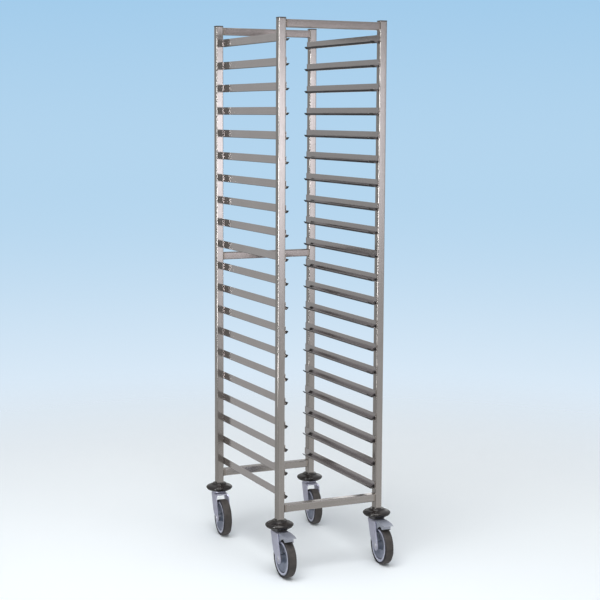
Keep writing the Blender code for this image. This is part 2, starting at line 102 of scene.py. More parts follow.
PEDAL_PLATE = 0.0016
HERE = Matrix.Identity(4)  # for points that are in the rack's frame already


# ---------------------------------------------------------------- materials
class Nodes:
    """Short calls that add nodes to one node tree."""

    def __init__(self, tree):
        self.tree = tree

    def add(self, kind, **settings):
        node = self.tree.nodes.new(kind)
        for key, value in settings.items():
            setattr(node, key, value)
        return node

    def put(self, value, socket):
        """Link a socket or set a plain value."""
        if isinstance(value, bpy.types.NodeSocket):
            self.tree.links.new(value, socket)
        elif isinstance(value, tuple) and len(value) == 3 and len(socket.default_value) == 4:
            socket.default_value = (value[0], value[1], value[2], 1.0)
        else:
            socket.default_value = value

    def fit(self, value, low, high, out_low, out_high, curve="LINEAR"):
        node = self.add("ShaderNodeMapRange", interpolation_type=curve)
        self.put(value, node.inputs["Value"])
        for name, number in zip(("From Min", "From Max", "To Min", "To Max"), (low, high, out_low, out_high)):
            node.inputs[name].default_value = number
        return node.outputs["Result"]

    def math(self, operation, first, second=0.0):
        node = self.add("ShaderNodeMath", operation=operation)
        self.put(first, node.inputs[0])
        self.put(second, node.inputs[1])
        return node.outputs[0]

    def share(self, first, part, second):
        """part of the first and the rest of the second."""
        return self.math("ADD", self.math("MULTIPLY", first, part), self.math("MULTIPLY", second, 1.0 - part))

    def mix(self, factor, first, second):
        node = self.add("ShaderNodeMix", data_type="RGBA")
        self.put(factor, node.inputs["Factor"])
        self.put(first, node.inputs[6])
        self.put(second, node.inputs[7])
        return node.outputs[2]


class Graph(Nodes):
    """One material, whose textures lie in the object's own coordinates."""

    def __init__(self, name, metallic, roughness):
        self.material = bpy.data.materials.new(name)
        self.material.use_nodes = True
        super().__init__(self.material.node_tree)
        self.shader = self.tree.nodes["Principled BSDF"]
        self.shader.inputs["Metallic"].default_value = metallic
        self.shader.inputs["Roughness"].default_value = roughness
        self.place = self.add("ShaderNodeTexCoord").outputs["Object"]

    def stretch(self, scale):
        """Coordinates times one scale, or times one for each axis."""
        if isinstance(scale, float):
            scale = (scale, scale, scale)
        mapping = self.add("ShaderNodeMapping")
        self.put(self.place, mapping.inputs["Vector"])
        mapping.inputs["Scale"].default_value = scale
        return mapping.outputs["Vector"]

    def noise(self, scale, detail=2.0, roughness=0.5, distortion=0.0):
        """Noise between 0 and 1; scale is how many waves a metre holds along each axis."""
        node = self.add("ShaderNodeTexNoise")
        self.put(self.stretch(scale), node.inputs["Vector"])
        node.inputs["Scale"].default_value = 1.0
        node.inputs["Detail"].default_value = detail
        node.inputs["Roughness"].default_value = roughness
        node.inputs["Distortion"].default_value = distortion
        return node.outputs["Fac"]

    def cells(self, scale):
        node = self.add("ShaderNodeTexVoronoi")
        self.put(self.stretch(scale), node.inputs["Vector"])
        node.inputs["Scale"].default_value = 1.0
        return node.outputs["Color"]

    def axis(self, index):
        node = self.add("ShaderNodeSeparateXYZ")
        self.put(self.place, node.inputs[0])
        return node.outputs[index]

    def edges(self, low, high):
        """About 1 on outward edges and corners, 0 elsewhere."""
        return self.fit(self.add("ShaderNodeNewGeometry").outputs["Pointiness"], low, high, 0.0, 1.0)

    def upward(self, low, high):
        """Rises from 0 to 1 as the surface normal goes from the low to the high value in Z: dust on surfaces
        that face up, and with the values reversed, painted shade on surfaces that face down.
        """
        node = self.add("ShaderNodeSeparateXYZ")
        self.put(self.add("ShaderNodeTexCoord").outputs["Normal"], node.inputs[0])
        return self.fit(node.outputs[2], low, high, 0.0, 1.0)

    def finish(self, colour, roughness, height=None, strength=0.2, distance=0.001):
        self.put(colour, self.shader.inputs["Base Color"])
        self.put(roughness, self.shader.inputs["Roughness"])
        if height is not None:
            bump = self.add("ShaderNodeBump")
            bump.inputs["Strength"].default_value = strength
            bump.inputs["Distance"].default_value = distance
            self.put(height, bump.inputs["Height"])
            self.put(bump.outputs["Normal"], self.shader.inputs["Normal"])
        return self.material


def grain(along, lengthwise, across):
    """Scale of a brushed grain that runs along axis 0, 1 or 2."""
    scale = [across, across, across]
    scale[along] = lengthwise
    return tuple(scale)


HEAT_TINT = (0.24, 0.17, 0.11)
BRIGHT_SCRATCH = (0.80, 0.79, 0.78)
# painted shade for the undersides of the runner lips
PAINTED_UNDERSIDE_SHADE = (0.11, 0.105, 0.105)
# painted shade for the inner faces of the runners
PAINTED_INNER_FACE_SHADE = (0.10, 0.11, 0.13)
# painted shade for the notched ends of the runner lips and flanges, and its roughness
PAINTED_END_SHADE = (0.022, 0.020, 0.018)
PAINTED_END_ROUGHNESS = 0.62
WORN_ZINC = (0.86, 0.86, 0.88)
WORN_PLASTIC = (0.78, 0.78, 0.80)
PALE_DUST = (0.34, 0.32, 0.30)


def brushed_steel(name, along, light, dark, rough_low, rough_high, tint=None, scuffs=0.12, painted_runner_shade=False):
    """Satin stainless steel: fine brush lines, cloudy patches, scuffs, heat tint next to welds; on the
    runners also painted shade under the lip, on the inner faces and at the notched ends.
    """
    g = Graph(name, 1.0, 0.3)
    fine = g.noise(grain(along, 7.0, 1900.0), 2.0)
    broad = g.noise(grain(along, 1.6, 260.0), 3.0, 0.6)
    cloud = g.noise((7.0, 7.0, 4.0), 4.0, 0.6, 0.4)
    smear = g.noise((38.0, 38.0, 21.0), 3.0, 0.6, 1.2)
    shade = g.share(broad, 0.45, cloud)
    colour = g.mix(g.fit(shade, 0.34, 0.66, 0.0, 1.0), dark, light)
    scratch = g.fit(g.noise(grain(along, 16.0, 2700.0), 1.0), 0.70, 0.78, 0.0, scuffs)
    colour = g.mix(scratch, colour, BRIGHT_SCRATCH)
    if tint is not None:
        axis_index, centre, start, end, amount = tint
        reach = g.math("ABSOLUTE", g.math("SUBTRACT", g.axis(axis_index), centre))
        wobble = g.math("MULTIPLY", g.noise(120.0, 2.0), 0.006)
        near = g.fit(g.math("ADD", reach, wobble), start, end, 0.0, amount)
        colour = g.mix(near, colour, HEAT_TINT)
    if painted_runner_shade:
        # painted shade: faces that turn down, under the lips, are darkened
        underside_shade = g.math("MULTIPLY", g.upward(-0.30, -0.60), 0.72)
        colour = g.mix(underside_shade, colour, PAINTED_UNDERSIDE_SHADE)
        # painted shade: the inner faces of web, flange and lip are darkened
        inner_face_shade = g.fit(g.math("ABSOLUTE", g.axis(0)), FACE_X - 0.0016, FACE_X - 0.0009, 0.22, 0.0)
        colour = g.mix(inner_face_shade, colour, PAINTED_INNER_FACE_SHADE)
        # painted shade: the notched ends of flange and lip turn near black, matt and not metallic
        depth = g.math("ABSOLUTE", g.math("SUBTRACT", g.axis(1), MIDDLE_Y))
        end = g.fit(depth, LIP_END - 0.0340, LIP_END - 0.0220, 0.0, 1.0)
        inside = g.fit(g.math("ABSOLUTE", g.axis(0)), FACE_X - 0.0034, FACE_X - 0.0024, 1.0, 0.0)
        end_shade = g.math("MULTIPLY", end, inside)
        colour = g.mix(end_shade, colour, PAINTED_END_SHADE)
        g.put(g.math("SUBTRACT", 1.0, end_shade), g.shader.inputs["Metallic"])
    matt = g.share(fine, 0.5, smear)
    roughness = g.fit(matt, 0.30, 0.70, rough_low, rough_high)
    if painted_runner_shade:
        roughness = g.math("MAXIMUM", roughness, g.math("MULTIPLY", end_shade, PAINTED_END_ROUGHNESS))
    return g.finish(colour, roughness, fine, 0.10, 0.0006)


def zinc(name, light, dark, rough_low, rough_high, wear=0.35, metallic=0.55):
    """Blue-white zinc plate: cloudy, faint crystals, worn brighter on the edges."""
    g = Graph(name, metallic, 0.4)
    cloud = g.noise(46.0, 4.0, 0.6, 0.6)
    crystals = g.cells(520.0)
    tone = g.share(cloud, 0.82, crystals)
    colour = g.mix(g.fit(tone, 0.32, 0.68, 0.0, 1.0), dark, light)
    rub = g.math("MULTIPLY", g.edges(0.51, 0.56), g.noise(210.0, 3.0))
    colour = g.mix(g.math("MULTIPLY", rub, wear), colour, WORN_ZINC)
    streaks = g.noise((900.0, 900.0, 60.0), 2.0)
    matt = g.share(cloud, 0.6, streaks)
    return g.finish(colour, g.fit(matt, 0.3, 0.7, rough_low, rough_high), streaks, 0.12, 0.0005)


def rubber(name, light, dark, rough_low, rough_high, dust, grain_scale, bump_strength):
    """Moulded rubber: matt mottling, fine grain, pale dust on what faces up."""
    g = Graph(name, 0.0, 0.5)
    cloud = g.noise(60.0, 4.0, 0.6)
    skin = g.noise(grain_scale, 3.0, 0.6)
    colour = g.mix(g.fit(cloud, 0.35, 0.65, 0.0, 1.0), dark, light)
    settled = g.math("MULTIPLY", g.upward(0.3, 1.0), g.fit(cloud, 0.35, 0.75, 0.2, 1.0))
    colour = g.mix(g.math("MULTIPLY", settled, dust), colour, PALE_DUST)
    matt = g.share(cloud, 0.6, skin)
    return g.finish(colour, g.fit(matt, 0.3, 0.7, rough_low, rough_high), skin, bump_strength, 0.0006)


def moulded(name, light, dark, rough_low, rough_high, wear):
    """Moulded plastic: faint flow marks, fine texture, edges worn paler."""
    g = Graph(name, 0.0, 0.4)
    flow = g.noise(28.0, 3.0, 0.5, 1.5)
    skin = g.noise(1500.0, 2.0)
    colour = g.mix(g.fit(flow, 0.35, 0.65, 0.0, 1.0), dark, light)
    rub = g.math("MULTIPLY", g.edges(0.51, 0.57), g.noise(300.0, 3.0))
    colour = g.mix(g.math("MULTIPLY", rub, wear), colour, WORN_PLASTIC)
    matt = g.share(flow, 0.6, skin)
    return g.finish(colour, g.fit(matt, 0.3, 0.7, rough_low, rough_high), skin, 0.10, 0.0003)


LIP_END = HALF_DEPTH - LIP_SETBACK
TUBE_LIGHT = (0.485, 0.463, 0.450)
TUBE_DARK = (0.420, 0.396, 0.380)
# painted shade: a darker copy of the tube steel for the top and middle rails, for the darker surroundings
# they reflect
SHADED_LIGHT = (0.365, 0.336, 0.326)
SHADED_DARK = (0.315, 0.288, 0.276)
SHEET_LIGHT = (0.705, 0.672, 0.678)
SHEET_DARK = (0.637, 0.605, 0.610)
RAIL_WELD = (0, 0.0, FACE_X - 0.007, FACE_X + 0.003, 0.40)
WEB_WELD = (1, MIDDLE_Y, HALF_DEPTH - 0.006, HALF_DEPTH + 0.002, 0.5)

POST_STEEL = brushed_steel("post_brushed_steel", 2, TUBE_LIGHT, TUBE_DARK, 0.11, 0.18)
RAIL_STEEL = brushed_steel("rail_brushed_steel", 0, TUBE_LIGHT, TUBE_DARK, 0.11, 0.19, RAIL_WELD)
# the same rail steel painted darker: painted reflection of darker surroundings
SHADED_RAIL_STEEL = brushed_steel("rail_shaded_steel", 0, SHADED_LIGHT, SHADED_DARK, 0.12, 0.18, RAIL_WELD, 0.06)
# True turns on the painted shade under the lips, on the inner faces and at the notched ends
RUNNER_STEEL = brushed_steel("runner_rolled_steel", 1, SHEET_LIGHT, SHEET_DARK, 0.11, 0.19, WEB_WELD, 0.18,
                             True)
WELD_STEEL = zinc("weld_steel", (0.34, 0.30, 0.26), (0.15, 0.13, 0.11), 0.34, 0.55, 0.2, 0.9)
CAP_PLASTIC = moulded("cap_black_plastic", (0.046, 0.044, 0.044), (0.026, 0.025, 0.026), 0.38, 0.55, 0.10)
BUMPER_RUBBER = rubber("bumper_black_rubber", (0.017, 0.013, 0.012), (0.008, 0.007, 0.008), 0.14, 0.26, 0.035,
                       900.0, 0.08)
RING_ZINC = zinc("race_ring_zinc", (0.60, 0.61, 0.72), (0.50, 0.51, 0.62), 0.36, 0.50)
RING_BLACK = moulded("race_ring_black", (0.030, 0.030, 0.034), (0.016, 0.016, 0.018), 0.34, 0.50, 0.15)
FORK_ZINC = zinc("fork_blue_zinc", (0.56, 0.57, 0.70), (0.46, 0.47, 0.60), 0.38, 0.52)
AXLE_ZINC = zinc("axle_zinc", (0.60, 0.61, 0.68), (0.47, 0.48, 0.55), 0.30, 0.42)
PEDAL_ZINC = zinc("pedal_blue_zinc", (0.40, 0.43, 0.51), (0.30, 0.33, 0.41), 0.34, 0.48)
RIM_LIGHT = moulded("rim_lavender_plastic", (0.58, 0.60, 0.72), (0.50, 0.52, 0.64), 0.34, 0.50, 0.35)
# blue-grey dish plastic, made darker partly as painted shade of the recessed dish
RIM_DISH_AND_SHADE = moulded("rim_dish_plastic_and_painted_shade", (0.29, 0.32, 0.41), (0.22, 0.245, 0.32), 0.32, 0.48, 0.20)
RIM_HUB = moulded("rim_hub_plastic", (0.115, 0.135, 0.18), (0.080, 0.095, 0.13), 0.30, 0.45, 0.30)
TYRE_RUBBER = rubber("tyre_grey_rubber", (0.070, 0.060, 0.056), (0.042, 0.037, 0.035), 0.55, 0.76, 0.06,
                     1300.0, 0.30)
TYRE_WALL = rubber("tyre_wall_rubber", (0.022, 0.021, 0.030), (0.012, 0.012, 0.018), 0.40, 0.58, 0.05,
                   1300.0, 0.18)
SHOE_RUBBER = rubber("shoe_black_rubber", (0.030, 0.030, 0.030), (0.015, 0.015, 0.015), 0.45, 0.65, 0.05,
                     1300.0, 0.25)


# ---------------------------------------------------------------- mesh helpers
def moved(verts, matrix):
    """The same points after a matrix."""
    return [matrix @ Vector(v) for v in verts]


def place_object(name, data):
    """A new object in the scene."""
    made = bpy.data.objects.new(name, data)
    bpy.context.scene.collection.objects.link(made)
    return made


def add_piece(name, shell, place, finish, body, nodes, crease=35.0, bevel=0.0, even_normals=False):
    """A smooth-shaded piece that rides on one body and stands for the named CAD nodes.

    shell holds points and faces; place is the matrix that puts them in the rack's frame.
    """
    mesh = bpy.data.meshes.new(name)
    mesh.from_pydata([tuple(v) for v in moved(shell[0], place)], [], shell[1])
    mesh.validate()
    work = bmesh.new()
    work.from_mesh(mesh)
    bmesh.ops.remove_doubles(work, verts=work.verts, dist=0.0000005)
    bmesh.ops.recalc_face_normals(work, faces=work.faces)
    for face in work.faces:
        face.smooth = True
    for edge in work.edges:
        if len(edge.link_faces) == 2 and edge.calc_face_angle(0.0) > radians(crease) and bevel == 0.0:
            edge.smooth = False
    work.to_mesh(mesh)
    work.free()
    mesh.materials.append(finish)
    piece = place_object(name, mesh)
    if bevel > 0.0:
        soften(piece, bevel, crease)
    if even_normals:
        flatten_shading(piece)
    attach(piece, body)
    if nodes:
        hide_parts(*nodes)
    return piece


def soften(piece, width, angle):
    """Rounds the hard edges by a small radius."""
    bevel = piece.modifiers.new("edge_radius", "BEVEL")
    bevel.width = width
    bevel.segments = 2
    bevel.limit_method = "ANGLE"
    bevel.angle_limit = radians(angle)
    bevel.use_clamp_overlap = True


def flatten_shading(piece):
    """Keeps large flat faces flat in the shading beside small bevels."""
    normals = piece.modifiers.new("even_normals", "WEIGHTED_NORMAL")
    normals.keep_sharp = True


def stack(rings, closed_loop, first_cap=True, last_cap=True):
    """Skin a list of equal-length rings; closed_loop joins the last ring to the first."""
    verts = []
    faces = []
    count = len(rings[0])
    for ring in rings:
        verts.extend(ring)
    last = len(rings) if closed_loop else len(rings) - 1
    for k in range(last):
        a = k * count
        b = ((k + 1) % len(rings)) * count
        for i in range(count):
            j = (i + 1) % count
            faces.append((a + i, a + j, b + j, b + i))
    if not closed_loop:
        if first_cap:
            faces.append(tuple(range(count)))
        if last_cap:
            faces.append(tuple((len(rings) - 1) * count + i for i in range(count)))
    return verts, faces


def join(shells):
    """Several shells as one list of points and faces."""
    verts = []
    faces = []
    for shell_verts, shell_faces in shells:
        first = len(verts)
        verts.extend(shell_verts)
        faces.extend(tuple(first + i for i in face) for face in shell_faces)
    return verts, faces


def rounded_square(half, corner, steps):
    """Outline of a square with round corners, anticlockwise from +X."""
    points = []
    centre = half - corner
    for quarter in range(4):
        start = quarter * pi / 2.0
        cx = centre * (1.0 if quarter in (0, 3) else -1.0)
        cy = centre * (1.0 if quarter in (0, 1) else -1.0)
        for k in range(steps + 1):
            angle = start + (pi / 2.0) * k / steps
            points.append((cx + corner * cos(angle), cy + corner * sin(angle)))
    return points


def square_radius(angle, half, corner):
    """Distance from the centre to a rounded square's outline at one angle."""
    ax = abs(cos(angle))
    ay = abs(sin(angle))
    flat = half / max(ax, ay)
    if min(ax, ay) * flat <= half - corner:
        return flat
    centre = half - corner
    along = centre * (ax + ay)
    return along + sqrt(max(corner * corner - (2.0 * centre * centre - along * along), 0.0))


def curve_through(points, steps):
    """Catmull-Rom curve through points of any dimension, ends included."""
    out = []
    last = len(points) - 1
    for k in range(last):
        p0 = points[max(k - 1, 0)]
        p1 = points[k]
        p2 = points[k + 1]
        p3 = points[min(k + 2, last)]
        for s in range(steps):
            t = s / steps
            out.append(tuple(
                0.5 * (2 * b + (c - a) * t + (2 * a - 5 * b + 4 * c - d) * t * t
                       + (3 * b - a - 3 * c + d) * t ** 3)
                for a, b, c, d in zip(p0, p1, p2, p3)))
    out.append(tuple(points[last]))
    return out


def lathe_z(profile, count, square_corner, closed_loop):
    """Turned solid about Z from (radius, height); a third entry makes that ring a rounded square."""
    rings = []
    for entry in profile:
        ring = []
        for i in range(count):
            angle = 2.0 * pi * i / count
            radius = entry[0]
            if len(entry) > 2:
                radius = square_radius(angle, entry[0], square_corner)
            ring.append((radius * cos(angle), radius * sin(angle), entry[1]))
        rings.append(ring)
    return stack(rings, closed_loop)


def lathe_x(profile, count, closed_loop):
    """Turned solid about X from (x, radius)."""
    rings = []
    for x, radius in profile:
        rings.append([
            (x, radius * sin(2.0 * pi * i / count), -radius * cos(2.0 * pi * i / count))
            for i in range(count)])
    return stack(rings, closed_loop)


def blob(centre, radii, around=10, down=6):
    """Small rounded bead."""
    verts = [(centre[0], centre[1], centre[2] + radii[2])]
    faces = []
    for k in range(1, down):
        polar = pi * k / down
        for i in range(around):
            angle = 2.0 * pi * i / around
            verts.append((
                centre[0] + radii[0] * sin(polar) * cos(angle),
                centre[1] + radii[1] * sin(polar) * sin(angle),
                centre[2] + radii[2] * cos(polar)))
    verts.append((centre[0], centre[1], centre[2] - radii[2]))
    bottom = len(verts) - 1
    for i in range(around):
        j = (i + 1) % around
        faces.append((0, 1 + i, 1 + j))
        for k in range(down - 2):
            a = 1 + k * around
            faces.append((a + i, a + around + i, a + around + j, a + j))
        a = 1 + (down - 2) * around
        faces.append((a + i, bottom, a + j))
    return verts, faces


# ---------------------------------------------------------------- frame tubes
def square_tube(length):
    """Open tube along Z with round corners and slightly eased ends."""
    outer = rounded_square(TUBE / 2.0, TUBE_CORNER, 6)
    inner = rounded_square(TUBE / 2.0 - TUBE_WALL, TUBE_CORNER - TUBE_WALL, 6)
    lip = 0.0003
    eased = rounded_square(TUBE / 2.0 - lip, TUBE_CORNER - lip, 6)
    rings = [
        [(x, y, 0.0) for x, y in eased],
        [(x, y, lip) for x, y in outer],
        [(x, y, length - lip) for x, y in outer],
        [(x, y, length) for x, y in eased],
        [(x, y, length) for x, y in inner],
        [(x, y, 0.0) for x, y in inner],
    ]
    return stack(rings, True)


def build_upright(tag):
    """One upright, open at both ends."""
    low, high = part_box("upright_" + tag)
    place = Matrix.Translation(((low.x + high.x) / 2.0, (low.y + high.y) / 2.0, low.z))
    add_piece("post_" + tag, square_tube(high.z - low.z), place, POST_STEEL, "rack",
              ["upright_" + tag], 50.0, 0.0, True)


def build_rail(node, finish):
    """One rail across, the same tube laid along X."""
    low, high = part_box(node)
    lay_down = Matrix.Rotation(radians(90.0), 4, "Y")
    centre = Vector((low.x, (low.y + high.y) / 2.0, (low.z + high.z) / 2.0))
    add_piece("cross_" + node, square_tube(high.x - low.x), Matrix.Translation(centre) @ lay_down, finish,
              "rack", [node], 50.0, 0.0, True)


def build_rail_welds(node):
    """Rippled weld seam round three sides of each rail end; the outer face is ground flush."""
    low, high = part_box(node)
    centre = (low + high) / 2.0
    outward = -1.0 if centre.y < MIDDLE_Y else 1.0
    outline = rounded_square(TUBE / 2.0, TUBE_CORNER, 4)
    dense = []
    for k, point in enumerate(outline):
        following = outline[(k + 1) % len(outline)]
        pieces = 9 if k % 5 == 4 else 1
        for s in range(pieces):
            t = s / pieces
            dense.append(tuple(a + (b - a) * t for a, b in zip(point, following)))
    kept = [p for p in dense if p[0] * outward < TUBE / 2.0 - 0.0012]
    gaps = [abs(kept[k][0] - kept[k - 1][0]) + abs(kept[k][1] - kept[k - 1][1]) for k in range(len(kept))]
    start = gaps.index(max(gaps))
    kept = kept[start:] + kept[:start]
    shells = []
    for side in (-1.0, 1.0):
        rings = []
        for k, (y, z) in enumerate(kept):
            size = sqrt(y * y + z * z)
            bead = WELD_BEAD * (1.0 + 0.16 * sin(2.1 * k))
            if k in (0, len(kept) - 1):
                bead *= 0.45
            ring = []
            for i in range(8):
                angle = 2.0 * pi * i / 8
                off = bead * cos(angle)
                ring.append((
                    side * (FACE_X - 0.0004) + bead * sin(angle),
                    centre.y + y + off * y / size,
                    centre.z + z + off * z / size))
            rings.append(ring)
        shells.append(stack(rings, False))
    add_piece("weld_" + node, join(shells), HERE, WELD_STEEL, "rack", [], 60.0)


def build_cap(tag):
    """Push-in cap: plug inside the tube and a low domed head."""
    low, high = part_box("cap_" + tag)
    centre = (low + high) / 2.0
    head = (high.x - low.x) / 2.0
    plug = TUBE / 2.0 - TUBE_WALL - 0.0004
    base = POST_HIGH.z + 0.0003
    top = high.z
    levels = [
        (plug - 0.0012, low.z, 0.0010),
        (plug, low.z + 0.0030, 0.0012),
        (plug, base, 0.0012),
        (head - 0.0003, base, TUBE_CORNER),
        (head, base + 0.0003, TUBE_CORNER),
    ]
    edge = 0.0014
    for k in range(5):
        turn = (pi / 2.0) * k / 4.0
        height = top - 0.0004 - edge * (1.0 - sin(turn))
        levels.append((head - edge * (1.0 - cos(turn)), height, TUBE_CORNER - 0.0002 * k))
    levels.append((head * 0.55, top - 0.0001, 0.0018))
    levels.append((head * 0.20, top, 0.0010))
    rings = [[(x, y, z) for x, y in rounded_square(half, corner, 5)] for half, z, corner in levels]
    add_piece("post_cap_" + tag, stack(rings, False), Matrix.Translation((centre.x, centre.y, 0.0)),
              CAP_PLASTIC, "rack", ["cap_" + tag], 40.0)


# ---------------------------------------------------------------- runners
def arc(cx, cz, radius, start, end, steps):
    """Points on an arc, angles in degrees."""
    return [(cx + radius * cos(radians(start + (end - start) * k / steps)),
             cz + radius * sin(radians(start + (end - start) * k / steps))) for k in range(steps + 1)]


def runner_line():
    """Middle line of the folded sheet, from the web's top edge to the lip tip, and how many rows are web."""
    web_x = WEB_GAP + SHEET / 2.0
    floor_z = SHEET / 2.0
    bend = 0.0015
    web = [(web_x, z) for z in (WEB_HEIGHT, 0.0190, 0.0120, 0.0070, 0.0042, 0.0030)]
    flange = arc(web_x + bend, floor_z + bend, bend, 180.0, 270.0, 5)
    lip_foot = 0.01045
    flange.append((0.0065, floor_z))
    flange += arc(lip_foot - 0.00062, floor_z + bend, bend, 270.0, 315.0, 3)
    tip_x = 0.01717
    tip_z = 0.00747
    foot_x, foot_z = flange[-1]
    for t in (0.35, 0.65, 0.85, 1.0):
        flange.append((foot_x + (tip_x - foot_x) * t, foot_z + (tip_z - foot_z) * t))
    return web, flange


def build_runner(side, level, pair_node):
    """One runner: folded sheet with its flange and lip notched back at both ends."""
    low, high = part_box(pair_node)
    lower = (level % 2) == 1
    base = low.z if lower else high.z - WEB_HEIGHT
    sign = -1.0 if side == "l" else 1.0
    web, flange = runner_line()
    full = (high.y - low.y) / 2.0
    inner = full - LIP_SETBACK + 0.0005
    stations = [-full, -inner, -inner + 0.0016, -inner + 0.0040, -0.16, -0.08, 0.0, 0.08, 0.16,
                inner - 0.0040, inner - 0.0016, inner, full]
    rows = web + flange
    verts = []
    tip_rows = {len(rows) - 1: 0.0022, len(rows) - 2: 0.0008, len(rows) - 3: 0.0002}
    for k, (x, z) in enumerate(rows):
        for c, y in enumerate(stations):
            pull = tip_rows.get(k, 0.0)
            if c == 1:
                y += pull
            if c == len(stations) - 2:
                y -= pull
            verts.append((sign * (FACE_X - x), MIDDLE_Y + y, base + z))
    faces = []
    count = len(stations)
    for k in range(len(rows) - 1):
        for c in range(count - 1):
            end_strip = c in (0, count - 2)
            if end_strip and k >= len(web) - 1:
                continue
            a = k * count + c
            faces.append((a, a + 1, a + count + 1, a + count))
    used = sorted({i for face in faces for i in face})
    index = {old: new for new, old in enumerate(used)}
    verts = [verts[i] for i in used]
    faces = [tuple(index[i] for i in face) for face in faces]
    name = "runner_%s_%02d" % (side, level)
    piece = add_piece(name, (verts, faces), HERE, RUNNER_STEEL, "rack", [pair_node], 50.0)
    for edge in piece.data.edges:
        edge.use_edge_sharp = False
    thick = piece.modifiers.new("sheet", "SOLIDIFY")
    thick.thickness = SHEET
    thick.offset = 0.0
    thick.use_even_offset = True
    soften(piece, 0.00028, 55.0)
    flatten_shading(piece)
    return base


def build_web_welds(tag, bases):
    """Small tacks that hold the web ends on one upright, above and below."""
    low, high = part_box("upright_" + tag)
    side = -1.0 if low.x < 0.0 else 1.0
    outward = -1.0 if (low.y + high.y) / 2.0 < MIDDLE_Y else 1.0
    edge_y = low.y if outward < 0.0 else high.y
    shells = []
    for k, base in enumerate(bases):
        for part, height in enumerate((0.0046, WEB_HEIGHT - 0.0032)):
            swell = 1.0 + 0.18 * sin(5.0 * k + 3.0 * part)
            centre = (side * (FACE_X - 0.0002), edge_y - outward * 0.0008, base + height)
            shells.append(blob(centre, (0.0015, 0.0011, 0.0021 * swell)))
    add_piece("web_welds_" + tag, join(shells), HERE, WELD_STEEL, "rack", [], 60.0)


# ---------------------------------------------------------------- casters, fixed parts
def build_bumper(tag, place):
    """Round rubber disc with a flared rim and a collar round the upright."""
    low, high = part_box("bumper_" + tag)
    reach = (high.x - low.x) / 2.0
    bottom = low.z
    top = high.z
    mid = BUMPER_WIDEST
    skin = curve_through([
        (0.0276, bottom + 0.0001), (0.0330, bottom + 0.0006), (0.0376, bottom + 0.0023),
        (0.0414, mid - 0.0070), (0.0446, mid - 0.0038), (reach, mid), (0.0443, mid + 0.0032),
        (0.0400, mid + 0.0060), (0.0345, mid + 0.0080), (0.0288, mid + 0.0096), (0.0252, mid + 0.0116),
        (0.0236, top - 0.0012), (0.0230, top - 0.0003), (0.0222, top)], 4)
    skin = [(min(radius, reach), height) for radius, height in skin]
    recess = TUBE / 2.0 + 0.0005
    profile = [(PIN_BORE, bottom + 0.0006), (0.0215, bottom + 0.0006), (0.0222, bottom), (0.0262, bottom)]
    profile += skin
    profile += [(recess + 0.0004, top, "square"), (recess, top - 0.0005, "square")]
    profile += [(recess, COLLAR_FLOOR, "square"), (PIN_BORE, COLLAR_FLOOR)]
    shell = lathe_z(profile, 96, TUBE_CORNER + 0.0005, True)
    add_piece("bumper_disc_" + tag, shell, place, BUMPER_RUBBER, "rack",
              ["bumper_" + tag], 40.0)


def build_head(tag, place, braked):
    """King pin, race ring with its ball groove, and the expander inside the upright."""
    low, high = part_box("stem_" + tag)
    reach = (high.x - low.x) / 2.0
    profile = [
        (0.0050, CROWN_UNDERSIDE + 0.0002),
        (0.0060, CROWN_UNDERSIDE + 0.0012),
        (0.0060, HEAD_BOTTOM),
        (reach - 0.0030, HEAD_BOTTOM),
        (reach - 0.0022, HEAD_BOTTOM + 0.0004),
        (reach - 0.0014, HEAD_BOTTOM + 0.0014),
        (reach - 0.0018, BALL_GROOVE - 0.0006),
        (reach - 0.0030, BALL_GROOVE - 0.0003),
        (reach - 0.0030, BALL_GROOVE + 0.0003),
        (reach - 0.0006, BALL_GROOVE + 0.0006),
        (reach, BALL_GROOVE + 0.0012),
        (reach, HEAD_TOP - 0.0010),
        (reach - 0.0004, HEAD_TOP - 0.0003),
        (reach - 0.0012, HEAD_TOP),
        (0.0090, HEAD_TOP),
        (0.0090, EXPANDER_FOOT),
        (0.0103, EXPANDER_FOOT, "square"),
        (0.0106, 0.1960, "square"),
        (0.0098, 0.2180, "square"),
        (0.0060, high.z),
    ]
    shell = lathe_z(profile, 72, 0.0016, False)
    finish = RING_BLACK if braked else RING_ZINC
    add_piece("swivel_head_" + tag, shell, place, finish, "rack", ["stem_" + tag], 32.0)


# ---------------------------------------------------------------- fork
# (height, distance in front of the swivel axis) down the rear and front edges of a leg
REAR_EDGE = curve_through(
    [(0.1428, -0.0170), (0.1150, -0.0085), (0.0850, 0.0025), (0.0700, 0.0140), (0.0600, 0.0302)], 8)
FRONT_EDGE = curve_through(
    [(0.1428, 0.0350), (0.1348, 0.0425), (0.1200, 0.0450), (0.0890, 0.0540), (0.0625, 0.0640)], 8)


def line_at(points, height):
    """The second value of a falling line of points, read at one height."""
    for k in range(len(points) - 1):
        z0, v0 = points[k]
        z1, v1 = points[k + 1]
        if height >= z1:
            share = (z0 - height) / (z0 - z1)
            return v0 + (v1 - v0) * min(max(share, 0.0), 1.0)
    return points[-1][1]


def leg_span(height):
    """Rear and front edge of a leg at one height, measured forward from the swivel axis."""
    if height >= WHEEL_RADIUS:
        return line_at(REAR_EDGE, height), line_at(FRONT_EDGE, height)
    drop = WHEEL_RADIUS - height
    reach = sqrt(max(LEG_END_RADIUS * LEG_END_RADIUS - drop * drop, 0.0))
    rear = TRAIL - reach
    if height > 0.0550:
        rear = min(rear, line_at(REAR_EDGE, height))
    return rear, TRAIL + reach


